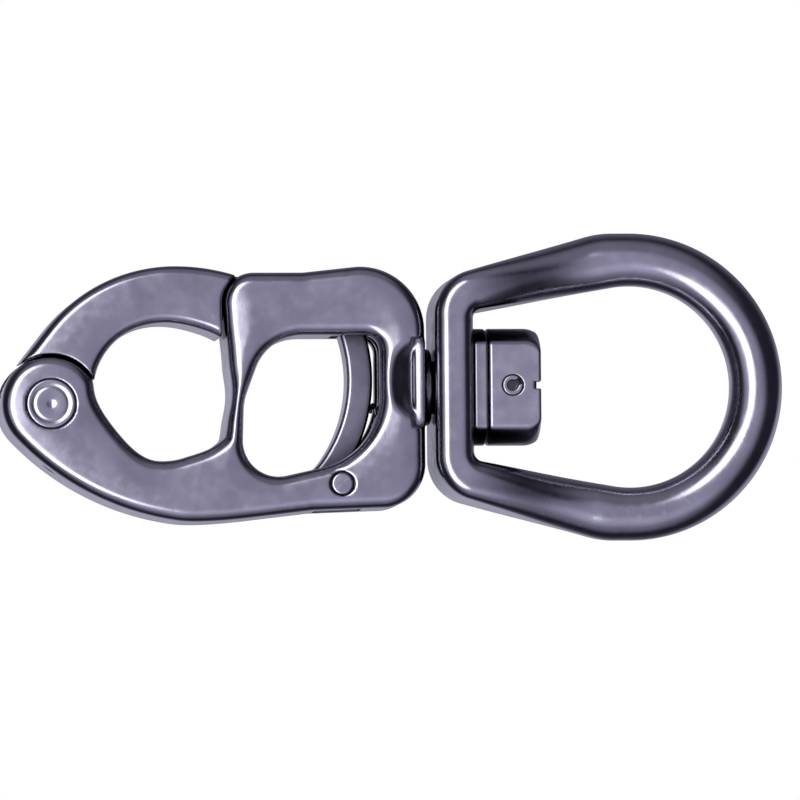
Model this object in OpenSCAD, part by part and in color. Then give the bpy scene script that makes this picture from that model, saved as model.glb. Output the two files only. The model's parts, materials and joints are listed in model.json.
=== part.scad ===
// Trigger snap shackle with a swivel bail, in stainless steel.
// The swivel axis is the X axis. The flat body lies in the XZ plane and Y runs through its thickness.
// The gate is at -X, the bail at +X, and the origin is the centre of the bounding box.

/* [Body] */
// Thickness of the body
body_t = 9.4; // [8.8:0.1:10]
// Radius of the nose around the gate pin
nose_r = 4.95; // [4.9:0.05:5.05]
// Radius of the jaw, where a ring or a line eye sits
jaw_r = 7; // [6.8:0.05:7]
// Height of the head above the swivel axis
head_top = 12.1; // [11.9:0.1:12.3]
// Right-hand face of the flat body
body_right = 3.05; // [2.9:0.05:3.2]

/* [Gate] */
// Thickness of the gate
gate_t = 8.6; // [8:0.1:8.8]
// Thickness of the gate's lug and tongue
lug_t = 4.1; // [3.8:0.1:4.1]
// Radius of the gate's lug around its pin
lug_r = 3.6; // [3.4:0.1:3.6]
// Radius of the gate pin's shank
gate_pin_r = 1.75; // [1.6:0.05:1.8]
// Radius of the gate pin's heads
gate_pin_head_r = 2.5; // [2.4:0.05:2.6]

/* [Trigger] */
// Thickness of the trigger
trigger_t = 4; // [3.6:0.1:4]
// Width of the trigger's curved lever
lever_w = 2.6; // [2.2:0.1:2.7]
// Radius of the trigger pin
trigger_pin_r = 1.15; // [1.05:0.05:1.25]
// Angle through which the trigger swings
trigger_swing = 9; // [5:1:9]

/* [Bail] */
// Radius of the round stock in the bow
stock_r = 2.7; // [2.5:0.05:2.8]
// Outer radius of the bow
bow_outer_r = 15.65; // [15:0.05:16]
// Depth of the bail's base, along Y
base_d = 11; // [10:0.5:12]
// Angle by which the bow's round stock goes past a half circle at each end
bow_wrap = 13.5; // [12:0.5:14]

/* [Swivel] */
// Radius of the swivel shank
shank_r = 2.62; // [2.5:0.01:2.65]
// Radius of the swivel nut
nut_r = 5.95; // [5.6:0.05:6]
// Half the width across the nut's two flats
nut_flat = 4.15; // [4:0.05:4.4]
// Radius of the roll pin through the nut
roll_pin_r = 1.05; // [0.9:0.05:1.1]

/* [Hidden] */
$fn = 96;
arc_step = 6;       // degrees between the points of an outline's arc
run_gap = 0.03;     // radial clearance of a running fit
press_gap = 0.01;   // radial gap left at a pressed pin
side_gap = 0.1;     // clearance on each side of a part in its slot
big = 40;           // longer than any part that a cutter goes through
steel = [0.62, 0.61, 0.68];
bright = [0.75, 0.74, 0.79];

// Pivots, as [x, z]
gate_pivot = [nose_r - 40, -1.8];
trigger_pivot = [-5.53, -9.98];

// Outline circles, as [x, z, radius]
jaw = [-23.65, -0.6, jaw_r];
jaw_corner = [-21.6, -1, 6];
jaw_wall = [-54.9, 0.3, 38];
beak = [-22.6, -3.7, 9.9];
beak_start = -27;
belly_r = 27.9;
belly = [gate_pivot.x + 16.67, gate_pivot.y + 15.77, belly_r];
heel_corner = [body_right - 4.45, -7.95, 4.45];
head_corner = [body_right - 6.5, head_top - 6.5, 6.5];
head_front = [-14.35, 8.4, 3.1];
gate_back = [-22.3, -4.42, 16.6];
gate_crown = [-22.3, -8.82, 21];
window = [[-9.2, -0.8, 7.7], [-3.1, 3.55, 1.6], [-9.3, 0, 5.15], [-9.9, -2.6, 5.5], [-11.9, -5.6, 3.6]];

// Latch: the tongue's end and the hook's face are arcs about the gate pivot
tongue_reach = 30.6;
hook_reach = tongue_reach + 0.15;
slot_floor = 6.9;
slot_end = -0.6;
tongue_bottom = 7.1;
tongue_top = 11.2;

// Trigger lever, a curved bar between two arcs about one centre
lever = [-18.98, 0.75, 14.28];
lever_top = 9.3;
boss_r = 2.2;

// Swivel stack, along X
collar_r = 3.4;
collar_end = 3.9;
base_x = 4.05;
base_in = 7.95;
washer_x = [8.05, 9.45];
nut_x = [9.55, 14.9];
nut_chamfer = 1.4;
shank_end = 14.6;
roll_pin_x = 12;
bow_x = 40 - bow_outer_r;
bow_mean_r = bow_outer_r - stock_r;
bail_outer = [[bow_x, 0, bow_outer_r], [22.7, 7.65, 8], [base_x + 4.6, 7.18, 4.6],
              [base_x + 4.6, -7.18, 4.6], [22.7, -7.65, 8]];
bail_inner = [[bow_x, 0, bow_outer_r - 2 * stock_r], [base_in + 1, 6.75, 1], [base_in + 1, -6.75, 1]];

// Springs and pin heads
pin_head_t = 0.6;
coil_wire = 0.26;
coil_r = 2.15;
coil_pitch = 0.56;
coil_pocket = 2.7;
coil_start = 0.35 - lug_t / 2;
leg_step = 0.7;
leg_hole_r = 0.4;
spring_hole_angle = 70;
spring_r = 0.75;
spring_z = -2.5;
spring_x = [-2.4, 2.4];

// Points of an arc about c from angle a to angle b
function arc(c, a, b) =
    let (n = max(1, ceil(abs(b - a) / arc_step)))
    [for (i = [0 : n]) let (t = a + (b - a) * i / n) [c[0] + c[2] * cos(t), c[1] + c[2] * sin(t)]];

// Direction of the outward normal where a taut belt runs from circle p to circle q
function belt_normal(p, q) =
    let (d = norm([q[0] - p[0], q[1] - p[1]]))
    atan2(q[1] - p[1], q[0] - p[0]) - acos((p[2] - q[2]) / d);

// The end angle brought to between 0 and 360 degrees past the start angle
function past(a, b) = a + ((b - a) % 360 + 360) % 360;

// Outline of a belt around circles given anticlockwise
function belt(c) =
    let (n = len(c))
    [for (i = [0 : n - 1])
        let (a = belt_normal(c[(i + n - 1) % n], c[i]), b = past(a, belt_normal(c[i], c[(i + 1) % n])))
        each arc(c[i], a, b)];

// Where circle c crosses the height z, on its right-hand side
function right_of(c, z) = c[0] + sqrt(c[2] * c[2] - (z - c[1]) * (z - c[1]));

gate_tangent = belt_normal(gate_back, [gate_pivot.x, gate_pivot.y, nose_r]);

// A plate of thickness t in the XZ plane, from a 2D shape drawn as [x, z]
module plate(t) {
    rotate([90, 0, 0])
        linear_extrude(height = t, center = true)
            children();
}

// A rod along Y through the point p
module rod_y(p, r, l) {
    translate([p[0], 0, p[1]])
        rotate([90, 0, 0])
            cylinder(h = l, r = r, center = true);
}

// A rod along X from x = a to x = b
module rod_x(a, b, r) {
    translate([a, 0, 0])
        rotate([0, 90, 0])
            cylinder(h = b - a, r = r);
}

// A disc in an outline
module disc(c) {
    translate([c[0], c[1]])
        circle(r = c[2]);
}

// A tube of radius r along a path. Its sections stand across the path, turned to the axis up.
module tube(path, r, up) {
    sides = 8;
    n = len(path);
    function unit(v) = v / norm(v);
    function tangent(i) = unit(path[min(i + 1, n - 1)] - path[max(i - 1, 0)]);
    rings = [for (i = [0 : n - 1])
        let (t = tangent(i), u = unit(cross(t, up)), v = cross(t, u))
        for (k = [0 : sides - 1]) path[i] + r * (cos(k * 360 / sides) * u + sin(k * 360 / sides) * v)];
    walls = [for (i = [0 : n - 2]) for (k = [0 : sides - 1])
        let (a = i * sides + k, b = i * sides + (k + 1) % sides)
        each [[a, b, b + sides], [a, b + sides, a + sides]]];
    first_end = [[for (k = [0 : sides - 1]) sides - 1 - k]];
    last_end = [[for (k = [0 : sides - 1]) (n - 1) * sides + k]];
    polyhedron(points = rings, faces = concat(walls, first_end, last_end));
}

module body_outline() {
    nose_end = atan2(-15.77, -16.67) + 360;
    nose = [gate_pivot.x, gate_pivot.y, nose_r];
    polygon(concat(
        arc(nose, 5, nose_end),
        arc(belly, nose_end, 268),
        [[-8.5, -12.65]],
        arc(heel_corner, 268, 360),
        arc(head_corner, 0, 98),
        [[-9.3, 11.5]],
        arc(head_front, 90, 180),
        [[-17.3, 6.1]],
        [for (z = [4.5 : -1 : -4.5]) [right_of(jaw_wall, z), z]],
        arc(jaw_corner, -45, -75),
        [[-22, -3]]));
}

// Everything that the trigger sweeps, with room around it
module trigger_sweep() {
    intersection() {
        union() {
            for (turn = [0, trigger_swing])
                translate(trigger_pivot)
                    rotate(-turn)
                        translate(-trigger_pivot)
                            circle_at(lever, lever_w + 0.3);
        }
        polygon([[-9.4, -9.5], [2, -9.5], [2, 13], [-9.4, 13]]);
    }
    disc([trigger_pivot.x, trigger_pivot.y, boss_r + 0.2]);
    // room for the heel, and the way out through the arm's underside
    translate([-8.9, -9.7])
        square([6.3, 4.7]);
    translate([-8, -14.5])
        square([4.8, 5.5]);
}

// A circle about c with w added to its radius
module circle_at(c, w) {
    disc([c[0], c[1], c[2] + w]);
}

module body() {
    slot = trigger_t + 2 * side_gap;
    lug_slot = lug_t + 2 * side_gap;
    scoop = [3.2, 0, 4.2];
    scoop_depth = 1.5;
    color(steel)
    difference() {
        union() {
            plate(body_t)
                body_outline();
            rod_x(body_right - 1, collar_end, collar_r);
            rod_x(body_right - 1, shank_end, shank_r);
        }
        rod_y([jaw[0], jaw[1]], jaw_r, big);
        plate(big)
            polygon(belt(window));
        // the slot for the trigger, open below and into the window
        plate(slot)
            difference() {
                trigger_sweep();
                translate([-30, 5])
                    square([23.5, 10]);
                disc([lever[0], lever[1], lever[2] - 0.6]);
            }
        // the slot in the head that takes the gate's tongue
        plate(lug_slot)
            translate([-19, slot_floor])
                square([19 + slot_end, 10]);
        // the pocket for the gate's lug, open towards the jaw and over the top of the nose
        plate(lug_slot)
            translate(gate_pivot) {
                circle(r = lug_r + 0.15);
                polygon([[0, 0], [8, -1.5], [8, 8], [-8, 8], [-8, -0.9]]);
            }
        rod_y(gate_pivot, gate_pin_r + press_gap, big);
        rod_y(trigger_pivot, trigger_pin_r + press_gap, big);
        for (side = [-1, 1]) {
            // counterbores for the gate pin's heads
            translate([gate_pivot.x, side * body_t / 2, gate_pivot.y])
                rotate([90, 0, 0])
                    cylinder(h = 2 * pin_head_t, r = gate_pin_head_r + press_gap, center = true);
            // a scoop in each face of the neck
            translate([0, side * (body_t / 2), 0])
                plate(2 * scoop_depth)
                    intersection() {
                        disc(scoop);
                        translate([-2, -5])
                            square([4.3, 10]);
                    }
        }
        // the hole that holds the gate spring's fixed leg
        translate([gate_pivot.x, coil_start, gate_pivot.y])
            rotate([0, spring_hole_angle, 0])
                translate([0, 0, -coil_r])
                    rod_x(lug_r - 1, 12, leg_hole_r);
        // the cross hole for the nut's roll pin
        rod_y([roll_pin_x, 0], roll_pin_r + press_gap, big);
        // the seat of the trigger spring
        translate([0, 0, spring_z])
            rod_x(-3, spring_x[1], spring_r + 0.35);
    }
}

// The gate in plan, before its lug and tongue are thinned
module gate_outline() {
    nose = [gate_pivot.x, gate_pivot.y, nose_r];
    polygon(concat(
        arc(gate_back, 90, gate_tangent),
        [[nose[0] + nose_r * cos(gate_tangent), nose[1] + nose_r * sin(gate_tangent)]],
        [[gate_pivot.x + 3, gate_pivot.y - 1]],
        [[-24, 0], [-17, 2]],
        arc(gate_crown, 72.5, 90)));
}

module gate() {
    neck_dirs = [12, 60, 112];
    reach = 7.5;
    color(steel)
    difference() {
        union() {
            // the arm, cut back around the cheeks of the nose and in front of the head
            plate(gate_t)
                difference() {
                    gate_outline();
                    disc([gate_pivot.x, gate_pivot.y, nose_r + 0.15]);
                    disc([head_front[0], head_front[1], head_front[2] + 0.15]);
                    translate([head_front[0] - head_front[2] - 0.15, 4])
                        square([10, head_front[1] - 4]);
                    translate([-15.9, 8])
                        square([10, 8]);
                }
            // the lug on the pin, with its neck
            plate(lug_t) {
                disc([gate_pivot.x, gate_pivot.y, lug_r]);
                intersection() {
                    gate_outline();
                    translate(gate_pivot)
                        polygon(concat([[0, 0]], [for (a = neck_dirs) reach * [cos(a), sin(a)]]));
                }
            }
            // the tongue that the trigger holds
            plate(lug_t)
                intersection() {
                    polygon([[-19.5, tongue_bottom], [-5, tongue_bottom], [-5, tongue_top], [-19.5, tongue_top]]);
                    disc([gate_pivot.x, gate_pivot.y, tongue_reach]);
                }
        }
        rod_y([jaw[0], jaw[1]], jaw_r, big);
        // the beak's underside, rising from the round jaw
        intersection() {
            rod_y([beak[0], beak[1]], beak[2], big);
            translate([beak_start, -big, -big])
                cube(2 * big);
        }
        rod_y(gate_pivot, gate_pin_r + run_gap, big);
        // a step down for the spring's fixed leg, and the pocket for its coil around the pin
        translate([gate_pivot.x, -lug_t / 2, gate_pivot.y])
            rotate([90, 0, 0])
                cylinder(h = 2 * leg_step, r = lug_r + 0.2, center = true);
        translate([gate_pivot.x, -lug_t / 2, gate_pivot.y])
            rotate([90, 0, 0])
                cylinder(h = 2 * coil_pocket, r = gate_pin_r + 0.95, center = true);
        // the faces ramp down to the lug beside the cheeks
        for (side = [-1, 1])
            translate([gate_pivot.x, side * gate_t / 2, gate_pivot.y])
                rotate([side * 90, 0, 0])
                    cylinder(h = 1.4, r1 = nose_r + 2.6, r2 = nose_r + 0.15);
    }
}

module gate_pin() {
    color(bright)
    difference() {
        union() {
            rod_y(gate_pivot, gate_pin_r, body_t - 0.1);
            for (side = [-1, 1])
                rod_y_at(gate_pivot, side * (body_t / 2 - pin_head_t / 2 - 0.025), gate_pin_head_r, pin_head_t - 0.05);
        }
        // a turned ring and a centre dimple in each head
        for (side = [-1, 1]) {
            rod_y_at(gate_pivot, side * body_t / 2, 0.3, 0.4);
            difference() {
                rod_y_at(gate_pivot, side * body_t / 2, 1.85, 0.35);
                rod_y_at(gate_pivot, side * body_t / 2, 1.65, 0.5);
            }
        }
    }
}

// A short rod along Y centred at y
module rod_y_at(p, y, r, l) {
    translate([0, y, 0])
        rod_y(p, r, l);
}

module gate_spring() {
    turns = 3.5;
    steps = 20;
    fixed_dir = -spring_hole_angle;
    // the coil starts at the leg in the body's hole and winds into the lug's pocket
    coil = [for (i = [0 : turns * steps])
        let (a = fixed_dir - 90 + i * 360 / steps)
        [gate_pivot.x + coil_r * cos(a), coil_start + coil_pitch * i / steps, gate_pivot.y + coil_r * sin(a)]];
    leg = [cos(fixed_dir), 0, sin(fixed_dir)];
    color(bright)
        tube(concat([coil[0] + 5 * leg], coil), coil_wire, [0, 1, 0]);
}

module trigger() {
    color(steel)
    difference() {
        plate(trigger_t) {
            intersection() {
                difference() {
                    circle_at(lever, lever_w);
                    disc(lever);
                    // the lever's top stands clear of the tongue's end
                    intersection() {
                        disc([gate_pivot.x, gate_pivot.y, hook_reach]);
                        translate([-30, 6.5])
                            square([30, 20]);
                    }
                }
                polygon([[-9, -8.9], [2, -8.9], [2, lever_top], [-9, lever_top]]);
            }
            disc([trigger_pivot.x, trigger_pivot.y, boss_r]);
            polygon([[-8.5, -8.1], [-7.45, -11.05], [-3.36, -9.6], [-4.6, -7]]);
        }
        rod_y(trigger_pivot, trigger_pin_r + run_gap, big);
    }
}

module trigger_pin() {
    color(bright)
        rod_y(trigger_pivot, trigger_pin_r, body_t - 0.3);
}

module trigger_spring() {
    turns = 6;
    steps = 16;
    color(bright)
        tube([for (i = [0 : turns * steps])
            let (a = i * 360 / steps)
            [spring_x[0] + 0.3 + (spring_x[1] - spring_x[0] - 0.6) * i / (turns * steps),
             spring_r * cos(a), spring_z + spring_r * sin(a)]], 0.2, [1, 0, 0]);
}

// The bail in plan, the outside less the eye
module bail_outline() {
    difference() {
        polygon(belt(bail_outer));
        polygon(belt(bail_inner));
    }
}

module bail() {
    color(steel)
    difference() {
        union() {
            intersection() {
                plate(big)
                    bail_outline();
                // deep at the base, tapering along the limbs to the round stock
                linear_extrude(height = 2 * big, center = true)
                    polygon([[0, -base_d / 2], [base_in, -base_d / 2], [22, 0.5 - stock_r],
                             [22, stock_r - 0.5], [base_in, base_d / 2], [0, base_d / 2]]);
            }
            // the bow, round stock bent to an arc
            translate([bow_x, 0, 0])
                rotate([90, 0, 0])
                    rotate([0, 0, -90 - bow_wrap])
                        rotate_extrude(angle = 180 + 2 * bow_wrap)
                            translate([bow_mean_r, 0])
                                circle(r = stock_r);
        }
        rod_x(0, base_in + 1, shank_r + run_gap);
    }
}

// A disc along X with two flats, front and back
module flatted(a, b) {
    intersection() {
        children();
        translate([a - 1, -nut_flat, -10])
            cube([b - a + 2, 2 * nut_flat, 20]);
    }
}

module swivel_washer() {
    color(steel)
    difference() {
        flatted(washer_x[0], washer_x[1])
            rod_x(washer_x[0], washer_x[1], nut_r);
        rod_x(0, big, shank_r + run_gap);
    }
}

module swivel_nut() {
    color(steel)
    difference() {
        flatted(nut_x[0], nut_x[1])
            union() {
                rod_x(nut_x[0], nut_x[1] - nut_chamfer, nut_r);
                translate([nut_x[1] - nut_chamfer, 0, 0])
                    rotate([0, 90, 0])
                        cylinder(h = nut_chamfer, r1 = nut_r, r2 = nut_r - nut_chamfer);
            }
        rod_x(0, big, shank_r + press_gap);
        rod_y([roll_pin_x, 0], roll_pin_r + press_gap, big);
    }
}

module nut_roll_pin() {
    color(bright)
    difference() {
        rod_y([roll_pin_x, 0], roll_pin_r, 2 * nut_flat - 0.2);
        rod_y([roll_pin_x, 0], roll_pin_r - 0.35, big);
        translate([roll_pin_x, -big / 2, -0.2])
            cube([big, big, 0.4]);
    }
}

body();
gate();
gate_pin();
gate_spring();
trigger();
trigger_pin();
trigger_spring();
bail();
swivel_washer();
swivel_nut();
nut_roll_pin();
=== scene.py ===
"""Looks for a trigger snap shackle: cast bodies, turned pins and coil springs in tumbled stainless steel.

The swivel axis is X, the flat body lies in the XZ plane, and Y runs through its thickness.
Shapes are drawn in millimetres.
"""

import itertools
import json
import math

import bpy
import numpy as np
from mathutils import Matrix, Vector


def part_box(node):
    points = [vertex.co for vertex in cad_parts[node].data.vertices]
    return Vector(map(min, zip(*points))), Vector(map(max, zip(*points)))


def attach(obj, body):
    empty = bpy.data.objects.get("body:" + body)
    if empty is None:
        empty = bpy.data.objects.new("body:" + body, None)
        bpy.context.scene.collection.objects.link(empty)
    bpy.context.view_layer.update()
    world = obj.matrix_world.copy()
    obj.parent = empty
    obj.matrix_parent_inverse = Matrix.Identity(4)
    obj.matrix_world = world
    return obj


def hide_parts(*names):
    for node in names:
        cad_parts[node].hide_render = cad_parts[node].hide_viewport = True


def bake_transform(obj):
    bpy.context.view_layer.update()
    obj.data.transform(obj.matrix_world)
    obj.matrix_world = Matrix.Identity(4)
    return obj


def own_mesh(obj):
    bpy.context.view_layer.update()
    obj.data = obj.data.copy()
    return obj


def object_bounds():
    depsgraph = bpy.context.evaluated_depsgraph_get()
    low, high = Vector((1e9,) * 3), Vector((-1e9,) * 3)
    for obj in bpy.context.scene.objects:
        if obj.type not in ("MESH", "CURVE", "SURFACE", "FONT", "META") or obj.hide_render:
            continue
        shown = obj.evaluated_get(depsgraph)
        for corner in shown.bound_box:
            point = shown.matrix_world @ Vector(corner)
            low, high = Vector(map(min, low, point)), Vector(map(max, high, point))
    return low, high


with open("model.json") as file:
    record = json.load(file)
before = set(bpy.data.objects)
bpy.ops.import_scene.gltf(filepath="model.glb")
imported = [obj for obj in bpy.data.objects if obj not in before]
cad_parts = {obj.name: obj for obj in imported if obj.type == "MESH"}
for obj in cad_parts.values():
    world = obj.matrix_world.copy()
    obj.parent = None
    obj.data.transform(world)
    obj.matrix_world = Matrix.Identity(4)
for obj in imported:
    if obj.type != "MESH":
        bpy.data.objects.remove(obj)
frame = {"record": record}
cad_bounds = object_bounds()
record = frame["record"]

MM = 0.001
ARC_STEP = 1.0  # degrees between the points of an outline's arc


def box_mm(node):
    """Lowest and highest corner of a CAD node, in millimetres."""
    return [np.array(corner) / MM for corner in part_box(node)]


def pivot_of(joint):
    """A joint's pivot as (x, z) in millimetres."""
    for entry in record["behaviour"]["joints"]:
        if entry["name"] == joint:
            return entry["pos_m"][0] / MM, entry["pos_m"][2] / MM
    raise KeyError(joint)


def mount_of(name):
    return next(m for m in record["mounts"] if m["name"] == name)


# ---------------------------------------------------------------- places, from the frame

BODY_LO, BODY_HI = box_mm("body")
GATE_LO, GATE_HI = box_mm("gate")
TRIGGER_LO, TRIGGER_HI = box_mm("trigger")
BAIL_LO, BAIL_HI = box_mm("bail")
WASHER_LO, WASHER_HI = box_mm("swivel_washer")
NUT_LO, NUT_HI = box_mm("swivel_nut")
ROLL_LO, ROLL_HI = box_mm("nut_roll_pin")
GATE_PIN_HI = box_mm("gate_pin")[1]
TRIGGER_PIN_HI = box_mm("trigger_pin")[1]
SPRING_LO, SPRING_HI = box_mm("trigger_spring")

GATE_PIVOT = pivot_of("gate_hinge")
TRIGGER_PIVOT = pivot_of("trigger_hinge")
JAW = (
    mount_of("jaw_eye")["pos_m"][0] / MM,
    mount_of("jaw_eye")["pos_m"][2] / MM,
    mount_of("jaw_eye")["dims"]["r_mm"],
)

# ---------------------------------------------------------------- outline circles, as (x, z, radius)

BODY_HALF = BODY_HI[1]
GATE_HALF = GATE_HI[1]
TRIGGER_HALF = TRIGGER_HI[1]
NOSE = (*GATE_PIVOT, GATE_PIVOT[0] - BODY_LO[0])
HEAD_TOP = BODY_HI[2]
BODY_RIGHT = 3.05
BELLY_OFFSET = (16.67, 15.77)
BELLY = (GATE_PIVOT[0] + BELLY_OFFSET[0], GATE_PIVOT[1] + BELLY_OFFSET[1], 27.9)
HEEL_CORNER = (BODY_RIGHT - 4.45, -7.95, 4.45)
HEAD_CORNER = (BODY_RIGHT - 6.5, HEAD_TOP - 6.5, 6.5)
HEAD_FRONT = (-14.35, 8.4, 3.1)
JAW_WALL = (-54.9, 0.3, 38.0)
JAW_CORNER = (-21.6, -1.0, 6.0)
BEAK = (-22.6, -3.7, 9.9)
BEAK_START = -27.0
GATE_BACK = (-22.3, -4.42, 16.6)
GATE_CROWN = (-22.3, -8.82, 21.0)
WINDOW = [
    (-9.2, -0.8, 7.7),
    (-3.1, 3.55, 1.6),
    (-9.3, 0.0, 5.15),
    (-9.9, -2.6, 5.5),
    (-11.9, -5.6, 3.6),
]
SCOOP = (3.2, 0.6, 4.2)
LEVER = (-18.98, 0.75, 14.28)

# ---------------------------------------------------------------- sizes that fit one piece to another

LEVER_WIDTH = 2.6
LUG_RADIUS = 3.6
LUG_HALF = 2.05
SLOT_HALF = 2.12
BOSS_RADIUS = 2.2
SHANK_RADIUS = 2.62
RUN_GAP = 0.12  # between the gate's arm and the body
TONGUE_REACH = 30.6
HOOK_REACH = 30.75
LEG_ANGLE = math.radians(-70)  # of the torsion spring's fixed leg
COIL_RADIUS = 2.15
LEG_Y = -1.7
TRIGGER_SWING = 9  # degrees

# ---------------------------------------------------------------- outlines


def arc(circle, start, end):
    """Points along a circle from one angle to another, in degrees."""
    count = max(2, math.ceil(abs(end - start) / ARC_STEP) + 1)
    angles = np.radians(np.linspace(start, end, count))
    return np.stack([circle[0] + circle[2] * np.cos(angles), circle[1] + circle[2] * np.sin(angles)], 1)


def belt_normal(p, q):
    """Direction of the outward normal where a taut belt runs from circle p to circle q."""
    span = math.hypot(q[0] - p[0], q[1] - p[1])
    heading = math.atan2(q[1] - p[1], q[0] - p[0])
    return math.degrees(heading - math.acos((p[2] - q[2]) / span))


def belt(circles):
    """Outline of a belt around circles given anticlockwise."""
    parts = []
    for i, circle in enumerate(circles):
        start = belt_normal(circles[i - 1], circle)
        end = belt_normal(circle, circles[(i + 1) % len(circles)])
        parts.append(arc(circle, start, start + (end - start) % 360))
    return np.concatenate(parts)


def right_of(circle, z):
    """Where a circle crosses the height z, on its right-hand side."""
    return circle[0] + math.sqrt(circle[2] ** 2 - (z - circle[1]) ** 2)


def bend(start, corner, end):
    """Points of a smooth turn from one point to another, tangent to the lines through a corner."""
    t = np.linspace(0, 1, 17)[:, None]
    return (1 - t) ** 2 * np.array(start) + 2 * t * (1 - t) * np.array(corner) + t**2 * np.array(end)


def body_outline():
    nose_end = math.degrees(math.atan2(-BELLY_OFFSET[1], -BELLY_OFFSET[0])) + 360
    wall = [(right_of(JAW_WALL, z), z) for z in np.linspace(4.5, -4.5, 37)]
    return np.concatenate(
        [
            arc(NOSE, 5, nose_end),
            arc(BELLY, nose_end, 262),
            bend((-22.26, -13.66), (-19.97, -13.98), (-14.5, -13.35)),
            [(-8.5, -12.65)],
            arc(HEEL_CORNER, 268, 360),
            arc(HEAD_CORNER, 0, 98),
            [(-9.3, 11.5)],
            arc(HEAD_FRONT, 90, 180),
            [(-17.3, 6.1)],
            wall,
            arc(JAW_CORNER, -45, -85),
            [(-22, -3)],
        ]
    )


def gate_outline():
    tangent = belt_normal(GATE_BACK, NOSE)
    return np.concatenate(
        [
            arc(GATE_BACK, 90, tangent),
            arc(NOSE, tangent, tangent + 1),
            [(GATE_PIVOT[0] + 3, GATE_PIVOT[1] - 1), (-24, 0), (-17, 2)],
            arc(GATE_CROWN, 72.5, 90),
        ]
    )


# ---------------------------------------------------------------- distance fields, negative inside


def polygon(points, x, z):
    """Signed distance to a closed outline."""
    points = np.asarray(points, float)
    near = np.full(np.broadcast(x, z).shape, 1e9)
    inside = np.zeros(near.shape, bool)
    for (ax, az), (bx, bz) in zip(points, np.roll(points, -1, 0)):
        ex, ez = bx - ax, bz - az
        length = ex * ex + ez * ez
        if length < 1e-12:
            continue
        along = np.clip(((x - ax) * ex + (z - az) * ez) / length, 0, 1)
        near = np.minimum(near, (x - ax - along * ex) ** 2 + (z - az - along * ez) ** 2)
        if ez != 0:
            crosses = ((az > z) != (bz > z)) & (x < ax + (z - az) * ex / ez)
            inside ^= crosses
    return np.where(inside, -1, 1) * np.sqrt(near)


def disc(circle, x, z):
    return np.hypot(x - circle[0], z - circle[1]) - circle[2]


def soft_max(a, b, k):
    """Larger of two distances, rounded over a width k where they meet."""
    h = np.maximum(k - np.abs(a - b), 0) / k
    return np.maximum(a, b) + h * h * k / 4


def soft_min(a, b, k):
    return -soft_max(-a, -b, k)


def rounded(u, v, r):
    """Corner of two distances u and v, rounded to radius r."""
    u, v = u + r, v + r
    return np.hypot(np.maximum(u, 0), np.maximum(v, 0)) + np.minimum(np.maximum(u, v), 0) - r


def pillow(plan, depth, width):
    """How far a face falls away towards its outline, as on a tumbled casting."""
    return depth * (1 - smooth_step(-plan / width))


def smooth_step(t):
    t = np.clip(t, 0, 1)
    return t * t * (3 - 2 * t)


def rod_x(y, z, x, start, end, radius, edge):
    """Round bar along X with rounded end edges."""
    middle, half = (start + end) / 2, (end - start) / 2
    return rounded(np.hypot(y, z) - radius, np.abs(x - middle) - half, edge)


# ---------------------------------------------------------------- meshes


def grid(lo, hi, step):
    """Open coordinate grids over a box, with room outside it and no grid plane on the box's own faces."""
    axes = [np.arange(a - 2.4 * step, b + 3 * step, step) for a, b in zip(lo, hi)]
    return axes, np.meshgrid(*axes, indexing="ij", sparse=True)


def surface_net(field):
    """Vertices, in cells, and quads of the zero surface of a field."""
    inside = field < 0
    cells = np.zeros([n - 1 for n in field.shape], np.uint8)
    for i, j, k in itertools.product((0, 1), repeat=3):
        cells += inside[i : i + cells.shape[0], j : j + cells.shape[1], k : k + cells.shape[2]]
    mixed = (cells > 0) & (cells < 8)
    cell = np.argwhere(mixed)
    index = np.full(mixed.shape, -1, np.int64)
    index[mixed] = np.arange(len(cell))
    total, hits = np.zeros((len(cell), 3)), np.zeros(len(cell))
    for axis in range(3):
        unit = np.eye(3, dtype=int)[axis]
        for pair in itertools.product((0, 1), repeat=2):
            near = cell + np.insert(np.array(pair), axis, 0)
            va, vb = field[tuple(near.T)], field[tuple((near + unit).T)]
            crossed = (va < 0) != (vb < 0)
            part = va[crossed] / (va[crossed] - vb[crossed])
            total[crossed] += near[crossed] + part[:, None] * unit
            hits += crossed
    quads = []
    for axis in range(3):
        ahead = np.roll(inside, -1, axis)
        cut = [slice(1, -1)] * 3
        start = inside[tuple(cut)]
        change = start != ahead[tuple(cut)]
        at = np.argwhere(change) + 1
        u, v = np.eye(3, dtype=int)[(axis + 1) % 3], np.eye(3, dtype=int)[(axis + 2) % 3]
        corners = ((1, 1), (0, 1), (0, 0), (1, 0))
        ring = np.stack([index[tuple((at - a * u - b * v).T)] for a, b in corners], 1)
        outward = start[change]
        ring[~outward] = ring[~outward][:, ::-1]
        quads.append(ring)
    return total / hits[:, None], np.concatenate(quads)


def sample(values, points):
    """Trilinear value of a grid at points given in cells."""
    low = np.clip(np.floor(points).astype(int), 0, np.array(values.shape[:3]) - 2)
    part = points - low
    result = 0
    for corner in itertools.product((0, 1), repeat=3):
        weight = np.prod(np.where(corner, part, 1 - part), 1)
        found = values[tuple((low + corner).T)]
        result = result + (weight[:, None] * found if found.ndim > 1 else weight * found)
    return result


def new_object(name, vertices, faces, material, normals=None):
    mesh = bpy.data.meshes.new(name)
    mesh.from_pydata(np.asarray(vertices) * MM, [], faces.tolist() if hasattr(faces, "tolist") else faces)
    mesh.validate()
    mesh.update()
    mesh.shade_smooth()
    if normals is not None:
        mesh.normals_split_custom_set_from_vertices(normals)
    mesh.materials.append(material)
    thing = bpy.data.objects.new(name, mesh)
    bpy.context.collection.objects.link(thing)
    return thing


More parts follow.
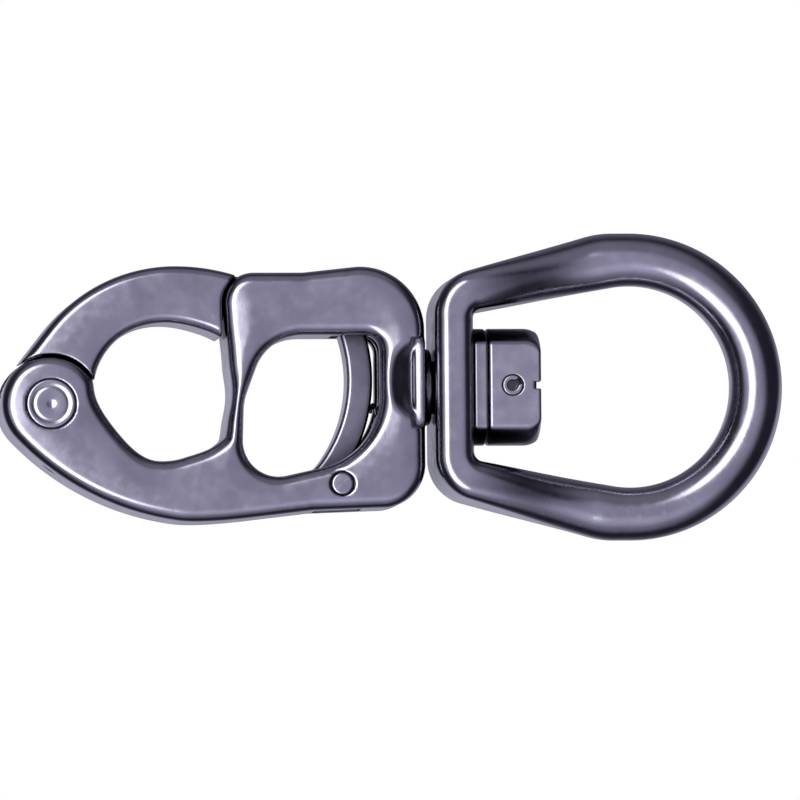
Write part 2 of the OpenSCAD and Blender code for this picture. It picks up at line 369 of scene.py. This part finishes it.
def solid(name, lo, hi, step, field_of, material):
    """A mesh piece from a distance field, with the field's own normals."""
    axes, (x, y, z) = grid(lo, hi, step)
    field = np.broadcast_to(field_of(x, y, z), [len(a) for a in axes]).astype(np.float32)
    cells, quads = surface_net(field)
    slope = np.stack(np.gradient(field), -1)
    normals = sample(slope, cells)
    normals /= np.linalg.norm(normals, axis=1, keepdims=True)
    vertices = np.array([a[0] for a in axes]) + cells * step
    return new_object(name, vertices, quads, material, normals)


def lathe(name, profile, centre, material, turns=96):
    """A turned piece about a line along Y. The profile is a list of (radius, y)."""
    angles = np.linspace(0, 2 * math.pi, turns, endpoint=False)
    vertices = [
        (centre[0] + r * math.cos(a), y, centre[1] + r * math.sin(a))
        for r, y in profile
        for a in angles
    ]
    faces = []
    for i in range(len(profile) - 1):
        for j in range(turns):
            k = (j + 1) % turns
            faces.append((i * turns + j, i * turns + k, (i + 1) * turns + k, (i + 1) * turns + j))
    faces.append(tuple(range(turns))[::-1])
    faces.append(tuple((len(profile) - 1) * turns + j for j in range(turns)))
    return new_object(name, vertices, faces, material)


def wire(name, path, radius, up, material, sides=12):
    """Round wire along a path, with domed ends. Its sections stay turned to the axis up."""
    path = np.asarray(path, float)
    tangents = np.gradient(path, axis=0)
    tangents /= np.linalg.norm(tangents, axis=1, keepdims=True)
    across = np.cross(tangents, up)
    across /= np.linalg.norm(across, axis=1, keepdims=True)
    above = np.cross(tangents, across)
    turns = np.linspace(0, 2 * math.pi, sides, endpoint=False)
    ring = np.cos(turns)[None, :, None] * across[:, None] + np.sin(turns)[None, :, None] * above[:, None]
    rings = path[:, None] + radius * ring
    first = path[0] - 0.5 * radius * tangents[0] + 0.6 * radius * ring[0]
    last = path[-1] + 0.5 * radius * tangents[-1] + 0.6 * radius * ring[-1]
    vertices = np.concatenate([first, rings.reshape(-1, 3), last])
    faces = []
    for i in range(len(path) + 1):
        for j in range(sides):
            k = (j + 1) % sides
            faces.append((i * sides + j, i * sides + k, (i + 1) * sides + k, (i + 1) * sides + j))
    faces.append(tuple(range(sides))[::-1])
    faces.append(tuple((len(path) + 1) * sides + j for j in range(sides)))
    return new_object(name, vertices, faces, material)


# ---------------------------------------------------------------- materials


def steel(name, tint, roughness, mottle, scratch, polish=0.5):
    """Tumbled stainless steel: soft mottling, fine scratches and brighter worn edges."""
    material = bpy.data.materials.new(name)
    material.use_nodes = True
    nodes, links = material.node_tree.nodes, material.node_tree.links
    shader = nodes["Principled BSDF"]
    shader.inputs["Metallic"].default_value = 1.0
    place = nodes.new("ShaderNodeTexCoord")

    def noise(scale, detail, stretch=None):
        texture = nodes.new("ShaderNodeTexNoise")
        texture.inputs["Scale"].default_value = scale
        texture.inputs["Detail"].default_value = detail
        source = place.outputs["Object"]
        if stretch:
            mapping = nodes.new("ShaderNodeMapping")
            mapping.inputs["Scale"].default_value = stretch
            links.new(source, mapping.inputs["Vector"])
            source = mapping.outputs["Vector"]
        links.new(source, texture.inputs["Vector"])
        return texture.outputs["Fac"]

    def ranged(source, low, high, out_low, out_high):
        remap = nodes.new("ShaderNodeMapRange")
        limits = {"From Min": low, "From Max": high, "To Min": out_low, "To Max": out_high}
        for key, value in limits.items():
            remap.inputs[key].default_value = value
        links.new(source, remap.inputs["Value"])
        return remap.outputs["Result"]

    def mixed(factor, a, b):
        mix = nodes.new("ShaderNodeMix")
        mix.data_type = "RGBA"
        for socket, value in ((mix.inputs["A"], a), (mix.inputs["B"], b)):
            if isinstance(value, bpy.types.NodeSocket):
                links.new(value, socket)
            else:
                socket.default_value = (*value, 1)
        links.new(factor, mix.inputs["Factor"])
        return mix.outputs["Result"]

    clouds = noise(260, 5)
    patches = noise(900, 3)
    dark = tuple(c * (1 - mottle) for c in tint)
    light = tuple(min(1, c * (1 + 0.6 * mottle)) for c in tint)
    base = mixed(ranged(clouds, 0.3, 0.7, 0, 1), dark, light)
    geometry = nodes.new("ShaderNodeNewGeometry")
    worn = ranged(geometry.outputs["Pointiness"], 0.5, 0.58, 0, polish)
    bright = mixed(worn, base, tuple(min(1, c * 1.25) for c in tint))
    # painted shade: ambient occlusion darkens the base colour in crevices and beside raised parts
    crevice_shade = nodes.new("ShaderNodeAmbientOcclusion")
    crevice_shade.samples = 8
    crevice_shade.inputs["Distance"].default_value = 0.006
    unshaded_share = ranged(crevice_shade.outputs["AO"], 0.55, 0.96, 0, 1)
    links.new(mixed(unshaded_share, tuple(0.22 * c for c in tint), bright), shader.inputs["Base Color"])
    links.new(ranged(patches, 0.3, 0.7, roughness - 0.04, roughness + 0.06), shader.inputs["Roughness"])
    fine = noise(5200, 2)
    brushed = noise(1500, 3, (1, 6, 1))
    height = nodes.new("ShaderNodeMath")
    height.operation = "ADD"
    links.new(fine, height.inputs[0])
    links.new(brushed, height.inputs[1])
    bump = nodes.new("ShaderNodeBump")
    bump.inputs["Strength"].default_value = scratch
    bump.inputs["Distance"].default_value = 0.00002
    links.new(height.outputs[0], bump.inputs["Height"])
    links.new(bump.outputs["Normal"], shader.inputs["Normal"])
    return material


CAST = steel("cast_stainless", (0.60, 0.585, 0.655), 0.17, 0.15, 0.17)
TURNED = steel("turned_stainless", (0.66, 0.645, 0.71), 0.20, 0.12, 0.16)
PINS = steel("pin_stainless", (0.62, 0.61, 0.67), 0.18, 0.10, 0.12)
WIRE = steel("spring_wire", (0.70, 0.69, 0.72), 0.22, 0.06, 0.06)

# ---------------------------------------------------------------- pieces


def body_slots(x, y, z):
    """Distance to everything cut out between the cheeks."""
    turned = []
    for turn in (0, -TRIGGER_SWING):
        a = math.radians(turn)
        dx, dz = LEVER[0] - TRIGGER_PIVOT[0], LEVER[1] - TRIGGER_PIVOT[1]
        centre = (
            TRIGGER_PIVOT[0] + dx * math.cos(a) - dz * math.sin(a),
            TRIGGER_PIVOT[1] + dx * math.sin(a) + dz * math.cos(a),
            LEVER[2] + LEVER_WIDTH + 0.3,
        )
        turned.append(disc(centre, x, z))
    swept = np.maximum(np.minimum(*turned), -9.5 - z)
    swept = np.maximum(swept, LEVER[2] - 0.6 - np.hypot(x - LEVER[0], z - LEVER[1]))
    boss = disc((*TRIGGER_PIVOT, BOSS_RADIUS + 0.2), x, z)
    heel = np.maximum(np.abs(x + 5.75) - 3.15, np.abs(z + 7.35) - 2.35)
    under = np.maximum(np.abs(x + 5.6) - 2.4, z + 9)
    trigger_slot = np.minimum(np.minimum(swept, boss), np.minimum(heel, under))
    head_floor, head_left, head_right = 6.9, -19, -0.6
    head_slot = np.maximum(np.maximum(head_floor - z, x - head_right), head_left - x)
    pocket = disc((*GATE_PIVOT, LUG_RADIUS + 0.15), x, z)
    px, pz = x - GATE_PIVOT[0], z - GATE_PIVOT[1]
    opening = np.maximum(-pz - 0.19 * px, -pz + 0.11 * px)
    nose_slot = np.minimum(pocket, np.maximum(opening, np.hypot(px, pz) - 8))
    flat = np.minimum(np.minimum(trigger_slot, head_slot), nose_slot)
    return np.maximum(flat, np.abs(y) - SLOT_HALF)


def with_neck(shape, x, y, z):
    """Adds the neck: a D-shaped scoop and a low leaning ridge on each face, a collar and the shank."""
    ridge_left, ridge_middle, ridge_half = 1.9, 2.45, 0.6
    ridge = 4.05 + 0.2 * (x - ridge_left)
    past_ridge = np.abs(z - 0.5 * SCOOP[1]) - 4.4
    valley = np.maximum(np.maximum(ridge - np.abs(y), past_ridge), ridge_left - x)
    shape = soft_max(shape, -valley, 0.5)
    rim = BODY_HALF - 0.9 * (SCOOP[2] - np.hypot(x - SCOOP[0], z - SCOOP[1]))
    floor = BODY_HALF - 0.42 * (x + 1.2)
    bowl = soft_max(rim, floor, 0.9) - np.abs(y)
    shape = soft_max(shape, -soft_max(bowl, x - 2.0, 0.3), 0.4)
    block = rounded(np.abs(y) - ridge, past_ridge, 0.9)
    block = rounded(block, np.abs(x - ridge_middle) - ridge_half, 0.25)
    shape = soft_min(shape, block, 0.3)
    collar_end, collar_radius = 3.9, 3.9
    collar = rod_x(y, z, x, BODY_RIGHT - 1, collar_end, collar_radius, 0.3)
    shape = soft_min(shape, collar, 0.3)
    return np.minimum(shape, rod_x(y, z, x, BODY_RIGHT - 1, BODY_HI[0], SHANK_RADIUS, 0.25))


def with_holes(shape, x, y, z):
    """Cuts the pins' seats and bores and the holes of the roll pin, the torsion leg and the return spring."""
    seat_depth = 0.6
    seat = np.maximum(disc((*GATE_PIVOT, 2.52), x, z), BODY_HALF - seat_depth - np.abs(y))
    gate_bore = (*GATE_PIVOT, 1.76)
    trigger_bore = (*TRIGGER_PIVOT, 1.22)
    roll_bore = ((ROLL_LO[0] + ROLL_HI[0]) / 2, 0, 1.06)
    shape = np.maximum(shape, -seat)
    shape = np.maximum(shape, -disc(gate_bore, x, z))
    shape = soft_max(shape, -disc(trigger_bore, x, z), 0.12)
    shape = np.maximum(shape, -disc(roll_bore, x, z))
    px, pz = x - GATE_PIVOT[0], z - GATE_PIVOT[1]
    along = px * math.cos(LEG_ANGLE) + pz * math.sin(LEG_ANGLE)
    aside = -px * math.sin(LEG_ANGLE) + pz * math.cos(LEG_ANGLE)
    leg_hole_radius, leg_hole_start = 0.38, 2.6
    leg_hole = np.hypot(aside + COIL_RADIUS, y - LEG_Y) - leg_hole_radius
    shape = soft_max(shape, -np.maximum(leg_hole, leg_hole_start - along), 0.15)
    tunnel_radius, tunnel_half, tunnel_x, tunnel_z = 1.1, 2.7, -0.3, -2.5
    tunnel = np.maximum(np.hypot(y, z - tunnel_z) - tunnel_radius, np.abs(x - tunnel_x) - tunnel_half)
    return np.maximum(shape, -tunnel)


def make_body():
    outline = body_outline()
    window = belt(WINDOW)
    edge_fillet = 1.15

    def field(x, y, z):
        plan = polygon(outline, x, z)
        # the jaw's lower left is nearly straight
        chord = 0.785 * (JAW[0] - x) + 0.619 * (JAW[1] - z) - 6.2
        plan = soft_max(plan, -soft_max(disc(JAW, x, z), chord, 1.5), 0.3)
        plan = soft_max(plan, -polygon(window, x, z), 0.3)
        shape = rounded(plan, np.abs(y) - BODY_HALF + pillow(plan, 0.16, 3.0), edge_fillet)
        shape = with_neck(shape, x, y, z)
        shape = soft_max(shape, -body_slots(x, y, z), 0.22)
        return with_holes(shape, x, y, z)

    piece = solid("cast_body", BODY_LO, BODY_HI, 0.2, field, CAST)
    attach(piece, "frame")
    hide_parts("body")


def make_gate():
    outline = gate_outline()
    front_x = HEAD_FRONT[0] - HEAD_FRONT[2] - RUN_GAP
    arm_end = -15.9
    tongue_left, tongue_z, tongue_half = -19.5, 9.15, 2.05
    bore_radius, coil_room = 1.78, 2.7

    def field(x, y, z):
        from_pin = np.hypot(x - GATE_PIVOT[0], z - GATE_PIVOT[1])
        plan = polygon(outline, x, z)
        beak = soft_max(disc(BEAK, x, z), BEAK_START - x, 1.0)
        jaw = soft_min(disc(JAW, x, z), beak, 0.5)
        plan = soft_max(plan, -jaw, 0.4)
        arm = rounded(plan, np.abs(y) - GATE_HALF + pillow(plan, 0.12, 2.6), 0.9)
        arm = soft_max(arm, NOSE[2] + RUN_GAP - from_pin, 0.15)
        # the square end that meets the head's front
        end = HEAD_FRONT[2] + RUN_GAP - np.hypot(x - HEAD_FRONT[0], z - HEAD_FRONT[1])
        end = np.maximum(end, np.minimum(x - front_x, HEAD_FRONT[1] - z))
        arm = soft_max(arm, np.maximum(end, x - arm_end), 0.3)
        lug = disc((*GATE_PIVOT, LUG_RADIUS), x, z)
        px, pz = x - GATE_PIVOT[0], z - GATE_PIVOT[1]
        # a web from the lug to the arm, between two angles from the pin
        low, high = math.radians(12), math.radians(94)
        neck = px * math.sin(low) - pz * math.cos(low)
        neck = np.maximum(neck, -px * math.sin(high) + pz * math.cos(high))
        neck = np.maximum(np.maximum(neck, plan + 0.35), from_pin - 7.5)
        lug = rounded(soft_min(lug, neck, 0.3), np.abs(y) - LUG_HALF, 0.15)
        tongue_ends = np.maximum(from_pin - TONGUE_REACH, tongue_left - x)
        tongue = np.maximum(np.abs(z - tongue_z) - tongue_half, tongue_ends)
        tongue = rounded(np.maximum(tongue, -jaw), np.abs(y) - LUG_HALF, 0.3)
        shape = soft_min(soft_min(arm, lug, 0.15), tongue, 0.15)
        shape = np.maximum(shape, bore_radius - from_pin)
        step = np.maximum(from_pin - LUG_RADIUS - 0.2, y + LUG_HALF - 0.7)
        pocket = np.maximum(from_pin - coil_room, y + LUG_HALF - coil_room)
        return np.maximum(shape, -np.minimum(step, pocket))

    piece = solid("gate_arm", GATE_LO, GATE_HI, 0.163, field, CAST)
    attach(piece, "gate")
    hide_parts("gate")


def make_trigger():
    heel = [(-8.3, -8.9), (-7.45, -11.05), (-3.36, -9.6), (-4.6, -7.0)]
    top, foot, back = TRIGGER_HI[2], -8.9, -10
    hook_floor = 6.5

    def field(x, y, z):
        radius = np.hypot(x - LEVER[0], z - LEVER[1])
        bar = np.abs(radius - LEVER[2] - LEVER_WIDTH / 2) - LEVER_WIDTH / 2
        tongue = np.hypot(x - GATE_PIVOT[0], z - GATE_PIVOT[1]) - HOOK_REACH
        bar = np.maximum(bar, -np.maximum(tongue, hook_floor - z))
        bar = soft_max(bar, np.abs(z - (top + foot) / 2) - (top - foot) / 2, 0.5)
        bar = np.maximum(bar, back - x)
        boss = disc((*TRIGGER_PIVOT, BOSS_RADIUS), x, z)
        plan = soft_min(soft_min(bar, polygon(heel, x, z), 0.8), boss, 0.5)
        shape = rounded(plan, np.abs(y) - TRIGGER_HALF, 0.4)
        return np.maximum(shape, -disc((*TRIGGER_PIVOT, 1.18), x, z))

    piece = solid("trigger_lever", TRIGGER_LO, TRIGGER_HI, 0.12, field, CAST)
    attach(piece, "trigger")
    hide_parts("trigger")


def make_bail():
    outer_r = BAIL_HI[2]
    stock = 2.7
    square_edge = 1.3
    bore_end = 12
    bow = (BAIL_HI[0] - outer_r, 0.0)
    left = BAIL_LO[0]
    shoulder, corner, eye_corner = (22.6, 5.65, 10.0), (left + 4.6, 7.18, 4.6), (8.95, 6.75, 1.0)
    below = [(x, -z, r) for x, z, r in (corner, shoulder)]
    outer = [(*bow, outer_r), shoulder, corner, *below]
    inner = [(*bow, outer_r - 2 * stock), eye_corner, (eye_corner[0], -eye_corner[1], eye_corner[2])]
    outer_line, inner_line = belt(outer), belt(inner)

    def field(x, y, z):
        plan = np.maximum(polygon(outer_line, x, z), -polygon(inner_line, x, z))
        taper = smooth_step((x - 7.0) / 13.5)
        half = BAIL_HI[1] + (stock - BAIL_HI[1]) * taper
        edge = square_edge + (stock - 0.06 - square_edge) * smooth_step((x - 6.0) / 12.5)
        shape = rounded(plan, np.abs(y) - half, edge)
        bore = np.maximum(np.hypot(y, z) - SHANK_RADIUS - 0.05, x - bore_end)
        return soft_max(shape, -bore, 0.3)

    piece = solid("swivel_bail", BAIL_LO, BAIL_HI, 0.18, field, CAST)
    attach(piece, "bail")
    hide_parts("bail")


def make_nut_and_washer():
    radius = NUT_HI[2]
    flat = NUT_HI[1]
    start, end = NUT_LO[0], NUT_HI[0]
    roll_x = (ROLL_LO[0] + ROLL_HI[0]) / 2
    slot_half, slot_depth = 0.35, 0.7
    dome_length = 1.5

    def nut(x, y, z):
        far = np.hypot(y, z)
        dome = np.hypot(np.maximum(x - (end - dome_length), 0) * 1.6, far) - radius
        side = rounded(dome, np.abs(y) - flat, 0.25)
        shape = rounded(side, np.abs(x - (start + end) / 2) - (end - start) / 2, 0.3)
        slot = np.maximum(np.abs(z) - slot_half, end - slot_depth - x)
        shape = soft_max(shape, -slot, 0.15)
        shape = np.maximum(shape, SHANK_RADIUS + 0.03 - far)
        return np.maximum(shape, -disc((roll_x, 0, 1.07), x, z))

    def washer(x, y, z):
        far = np.hypot(y, z)
        side = rounded(far - radius, np.abs(y) - flat, 0.2)
        half = (WASHER_HI[0] - WASHER_LO[0]) / 2
        shape = rounded(side, np.abs(x - WASHER_LO[0] - half) - half, 0.2)
        return np.maximum(shape, SHANK_RADIUS + 0.03 - far)

    for name, node, field, lo, hi in (
        ("flatted_nut", "swivel_nut", nut, NUT_LO, NUT_HI),
        ("thrust_washer", "swivel_washer", washer, WASHER_LO, WASHER_HI),
    ):
        piece = solid(name, lo, hi, 0.1, field, TURNED)
        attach(piece, "frame")
        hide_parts(node)


def make_roll_pin():
    centre = (ROLL_LO + ROLL_HI) / 2
    outside = (ROLL_HI[0] - ROLL_LO[0]) / 2
    half_wall, half_slit = 0.25, 0.3

    def field(x, y, z):
        far = np.hypot(x - centre[0], z)
        tube = np.abs(far - outside + half_wall) - half_wall
        # the slit faces 30 degrees above +X
        across = (x - centre[0]) * 0.5 - z * 0.87
        ahead = (x - centre[0]) * 0.87 + z * 0.5
        tube = np.maximum(tube, -np.maximum(np.abs(across) - half_slit, -ahead))
        core = np.maximum(far - outside + 0.2, np.abs(y) - ROLL_HI[1] + 0.9)
        return np.minimum(rounded(tube, np.abs(y) - ROLL_HI[1], 0.12), core)

    piece = solid("slotted_roll_pin", ROLL_LO, ROLL_HI, 0.06, field, PINS)
    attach(piece, "frame")
    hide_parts("nut_roll_pin")


def mirrored(half_profile):
    """A whole turned profile from its +Y half, listed from the axis outwards and back to the middle."""
    return half_profile + [(r, -y) for r, y in reversed(half_profile)]


def make_pins():
    top = GATE_PIN_HI[1]
    gate_profile = [
        (0.02, top - 0.16), (0.25, top - 0.14), (0.4, top - 0.08), (0.6, top - 0.06), (1.4, top - 0.04),
        (1.58, top - 0.05), (1.7, top - 0.1), (1.82, top - 0.1), (1.94, top - 0.05), (2.1, top - 0.01),
        (2.34, top), (2.42, top - 0.03), (2.47, top - 0.1), (2.49, top - 0.2), (2.49, top - 0.5),
        (1.75, top - 0.56),
    ]
    pin = lathe("headed_gate_pin", mirrored(gate_profile), GATE_PIVOT, PINS)
    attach(pin, "frame")
    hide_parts("gate_pin")
    end = TRIGGER_PIN_HI[1] + 0.05
    flat_radius, edge_width, edge_drop = 0.86, 0.28, 0.22
    edge = [
        (flat_radius + edge_width * math.sin(t), end - edge_drop + edge_drop * math.cos(t))
        for t in np.linspace(0, math.pi / 2, 9)
    ]
    plain = [(0.02, end)] + edge
    pin = lathe("plain_trigger_pin", mirrored(plain), TRIGGER_PIVOT, PINS)
    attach(pin, "frame")
    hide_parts("trigger_pin")


def make_springs():
    """The torsion spring coiled about the gate pin and the compression spring, built as fixed wire meshes."""
    pitch, coils, leg_length, wire_radius = 0.56, 3.5, 5, 0.25
    start = np.array([GATE_PIVOT[0], LEG_Y, GATE_PIVOT[1]])
    angles = LEG_ANGLE - math.pi / 2 + np.linspace(0, 2 * coils * math.pi, 169)
    rise = pitch * (angles - angles[0]) / (2 * math.pi)
    coil = start + np.stack([COIL_RADIUS * np.cos(angles), rise, COIL_RADIUS * np.sin(angles)], 1)
    leg_direction = np.array([math.cos(LEG_ANGLE), 0, math.sin(LEG_ANGLE)])
    leg = coil[0] + np.linspace(leg_length, 0.25, 12)[:, None] * leg_direction
    spring = wire("torsion_spring", np.concatenate([leg, coil]), wire_radius, (0, 1, 0), WIRE)
    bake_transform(spring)
    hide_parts("gate_spring")
    coils, coil_radius, wire_radius = 6, 0.75, 0.19
    centre = (SPRING_LO + SPRING_HI) / 2
    turns = np.linspace(0, 2 * coils * math.pi, 241)
    travel = np.linspace(SPRING_LO[0] + 0.2, SPRING_HI[0] - 0.2, 241)
    path = np.stack([travel, coil_radius * np.cos(turns), centre[2] + coil_radius * np.sin(turns)], 1)
    spring = wire("return_spring", path, wire_radius, (1, 0, 0), WIRE)
    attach(spring, "frame")
    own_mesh(spring)
    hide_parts("trigger_spring")


# ---------------------------------------------------------------- floor, light and camera


def make_world():
    """White to the camera; to the steel, a grey room in front, bright on the left and dark on the right."""
    world = bpy.data.worlds.new("studio")
    bpy.context.scene.world = world
    world.use_nodes = True
    nodes, links = world.node_tree.nodes, world.node_tree.links
    nodes.clear()
    out = nodes.new("ShaderNodeOutputWorld")
    rays = nodes.new("ShaderNodeLightPath")
    seen = nodes.new("ShaderNodeBackground")
    seen.inputs["Color"].default_value = (1, 1, 1, 1)
    lit = nodes.new("ShaderNodeBackground")
    pick = nodes.new("ShaderNodeMixShader")
    links.new(rays.outputs["Is Camera Ray"], pick.inputs[0])
    links.new(lit.outputs[0], pick.inputs[1])
    links.new(seen.outputs[0], pick.inputs[2])
    links.new(pick.outputs[0], out.inputs["Surface"])
    where = nodes.new("ShaderNodeTexCoord")

    def towards(azimuth, elevation):
        """A direction; azimuth 0 is the side that the camera is on, and azimuth -90 is the nose's."""
        a, e = math.radians(azimuth), math.radians(elevation)
        return math.sin(a) * math.cos(e), -math.cos(a) * math.cos(e), math.sin(e)

    def glow(direction, inner, outer, colour):
        """Light of one colour within a cone about a direction, fading from the inner to the outer angle."""
        dot = nodes.new("ShaderNodeVectorMath")
        dot.operation = "DOT_PRODUCT"
        size = math.sqrt(sum(c * c for c in direction))
        dot.inputs[1].default_value = [c / size for c in direction]
        links.new(where.outputs["Generated"], dot.inputs[0])
        fade = nodes.new("ShaderNodeMapRange")
        fade.interpolation_type = "SMOOTHSTEP"
        fade.inputs["From Min"].default_value = math.cos(math.radians(outer))
        fade.inputs["From Max"].default_value = math.cos(math.radians(inner))
        links.new(dot.outputs["Value"], fade.inputs["Value"])
        tint = nodes.new("ShaderNodeVectorMath")
        tint.operation = "SCALE"
        tint.inputs[0].default_value = colour
        links.new(fade.outputs["Result"], tint.inputs["Scale"])
        return tint.outputs[0]

    room = [
        glow(towards(-4, -14), 3, 56, (0.34, 0.33, 0.435)),
        glow(towards(0, 52), 5, 48, (0.17, 0.165, 0.21)),
        glow(towards(0, -52), 5, 48, (0.20, 0.195, 0.25)),
        glow(towards(-18, 24), 8, 18, (2.0, 2.0, 2.1)),
        glow(towards(-18, 0), 8, 18, (2.0, 2.0, 2.1)),
        glow(towards(-18, -24), 8, 18, (2.0, 2.0, 2.1)),
        glow(towards(-34, 0), 5, 32, (0.30, 0.30, 0.34)),
        glow(towards(-160, -8), 15, 42, (0.30, 0.30, 0.36)),
        glow(towards(180, 10), 20, 80, (0.12, 0.12, 0.15)),
        glow(towards(138, -14), 6, 34, (0.28, 0.28, 0.33)),
    ]
    total = nodes.new("ShaderNodeVectorMath")
    total.inputs[0].default_value = (0.02, 0.02, 0.03)
    links.new(room[0], total.inputs[1])
    for patch in room[1:]:
        added = nodes.new("ShaderNodeVectorMath")
        links.new(total.outputs[0], added.inputs[0])
        links.new(patch, added.inputs[1])
        total = added
    links.new(total.outputs[0], lit.inputs["Color"])


def make_floor(lowest):
    """A pale round floor below the shackle."""
    level = lowest - 0.11
    rings, turns = 24, 96
    vertices = [(0, 0, level)]
    for i in range(1, rings + 1):
        reach = 2.5 * (i / rings) ** 2
        for j in range(turns):
            a = 2 * math.pi * j / turns
            vertices.append((reach * math.cos(a), reach * math.sin(a), level))
    faces = [(0, 1 + j, 1 + (j + 1) % turns) for j in range(turns)]
    for i in range(rings - 1):
        for j in range(turns):
            k = (j + 1) % turns
            a, b = 1 + i * turns, 1 + (i + 1) * turns
            faces.append((a + j, b + j, b + k, a + k))
    mesh = bpy.data.meshes.new("studio_floor")
    mesh.from_pydata(vertices, [], faces)
    floor = bpy.data.objects.new("studio_floor", mesh)
    bpy.context.collection.objects.link(floor)
    pale = bpy.data.materials.new("pale_floor")
    pale.use_nodes = True
    nodes, links = pale.node_tree.nodes, pale.node_tree.links
    shader = nodes["Principled BSDF"]
    grain = nodes.new("ShaderNodeTexNoise")
    grain.inputs["Scale"].default_value = 40
    ramp = nodes.new("ShaderNodeValToRGB")
    ramp.color_ramp.elements[0].color = (0.93, 0.93, 0.935, 1)
    ramp.color_ramp.elements[1].color = (0.97, 0.97, 0.975, 1)
    links.new(grain.outputs["Fac"], ramp.inputs["Fac"])
    # bright where the camera sees it, quiet in the steel's reflections
    rays = nodes.new("ShaderNodeLightPath")
    seen = nodes.new("ShaderNodeMix")
    seen.data_type = "RGBA"
    seen.inputs["A"].default_value = (0.1, 0.1, 0.13, 1)
    links.new(ramp.outputs["Color"], seen.inputs["B"])
    links.new(rays.outputs["Is Camera Ray"], seen.inputs["Factor"])
    links.new(seen.outputs["Result"], shader.inputs["Emission Color"])
    links.new(seen.outputs["Result"], shader.inputs["Base Color"])
    shader.inputs["Emission Strength"].default_value = 0.8
    shader.inputs["Roughness"].default_value = 0.9
    mesh.materials.append(pale)
    floor.visible_glossy = False


def make_camera(lo, hi):
    """A long lens, a little to the left of the shackle and a little below it."""
    azimuth, elevation, roll, distance = math.radians(-6.0), math.radians(-3.4), math.radians(0.5), 1.5
    centre = [(a + b) / 2 for a, b in zip(lo, hi)]
    level = math.cos(elevation)
    back = (math.sin(azimuth) * level, -math.cos(azimuth) * level, math.sin(elevation))
    camera = bpy.data.objects.new("camera", bpy.data.cameras.new("camera"))
    bpy.context.collection.objects.link(camera)
    camera.location = [c + distance * b for c, b in zip(centre, back)]
    aim = Matrix.Rotation(azimuth, 3, "Z") @ Matrix.Rotation(math.pi / 2 - elevation, 3, "X")
    camera.rotation_euler = (aim @ Matrix.Rotation(-roll, 3, "Z")).to_euler()
    half_frame = 0.04064
    camera.data.sensor_width = 36
    camera.data.lens = 18 * distance / half_frame
    camera.data.shift_x, camera.data.shift_y = 0.0109, -0.0155
    camera.data.clip_start = 0.01
    bpy.context.scene.camera = camera


def main():
    make_body()
    make_gate()
    make_trigger()
    make_bail()
    make_nut_and_washer()
    make_roll_pin()
    make_pins()
    make_springs()
    make_world()
    make_floor(cad_bounds[0][2])
    make_camera(*cad_bounds)
    bpy.context.scene.view_settings.view_transform = "Standard"


main()
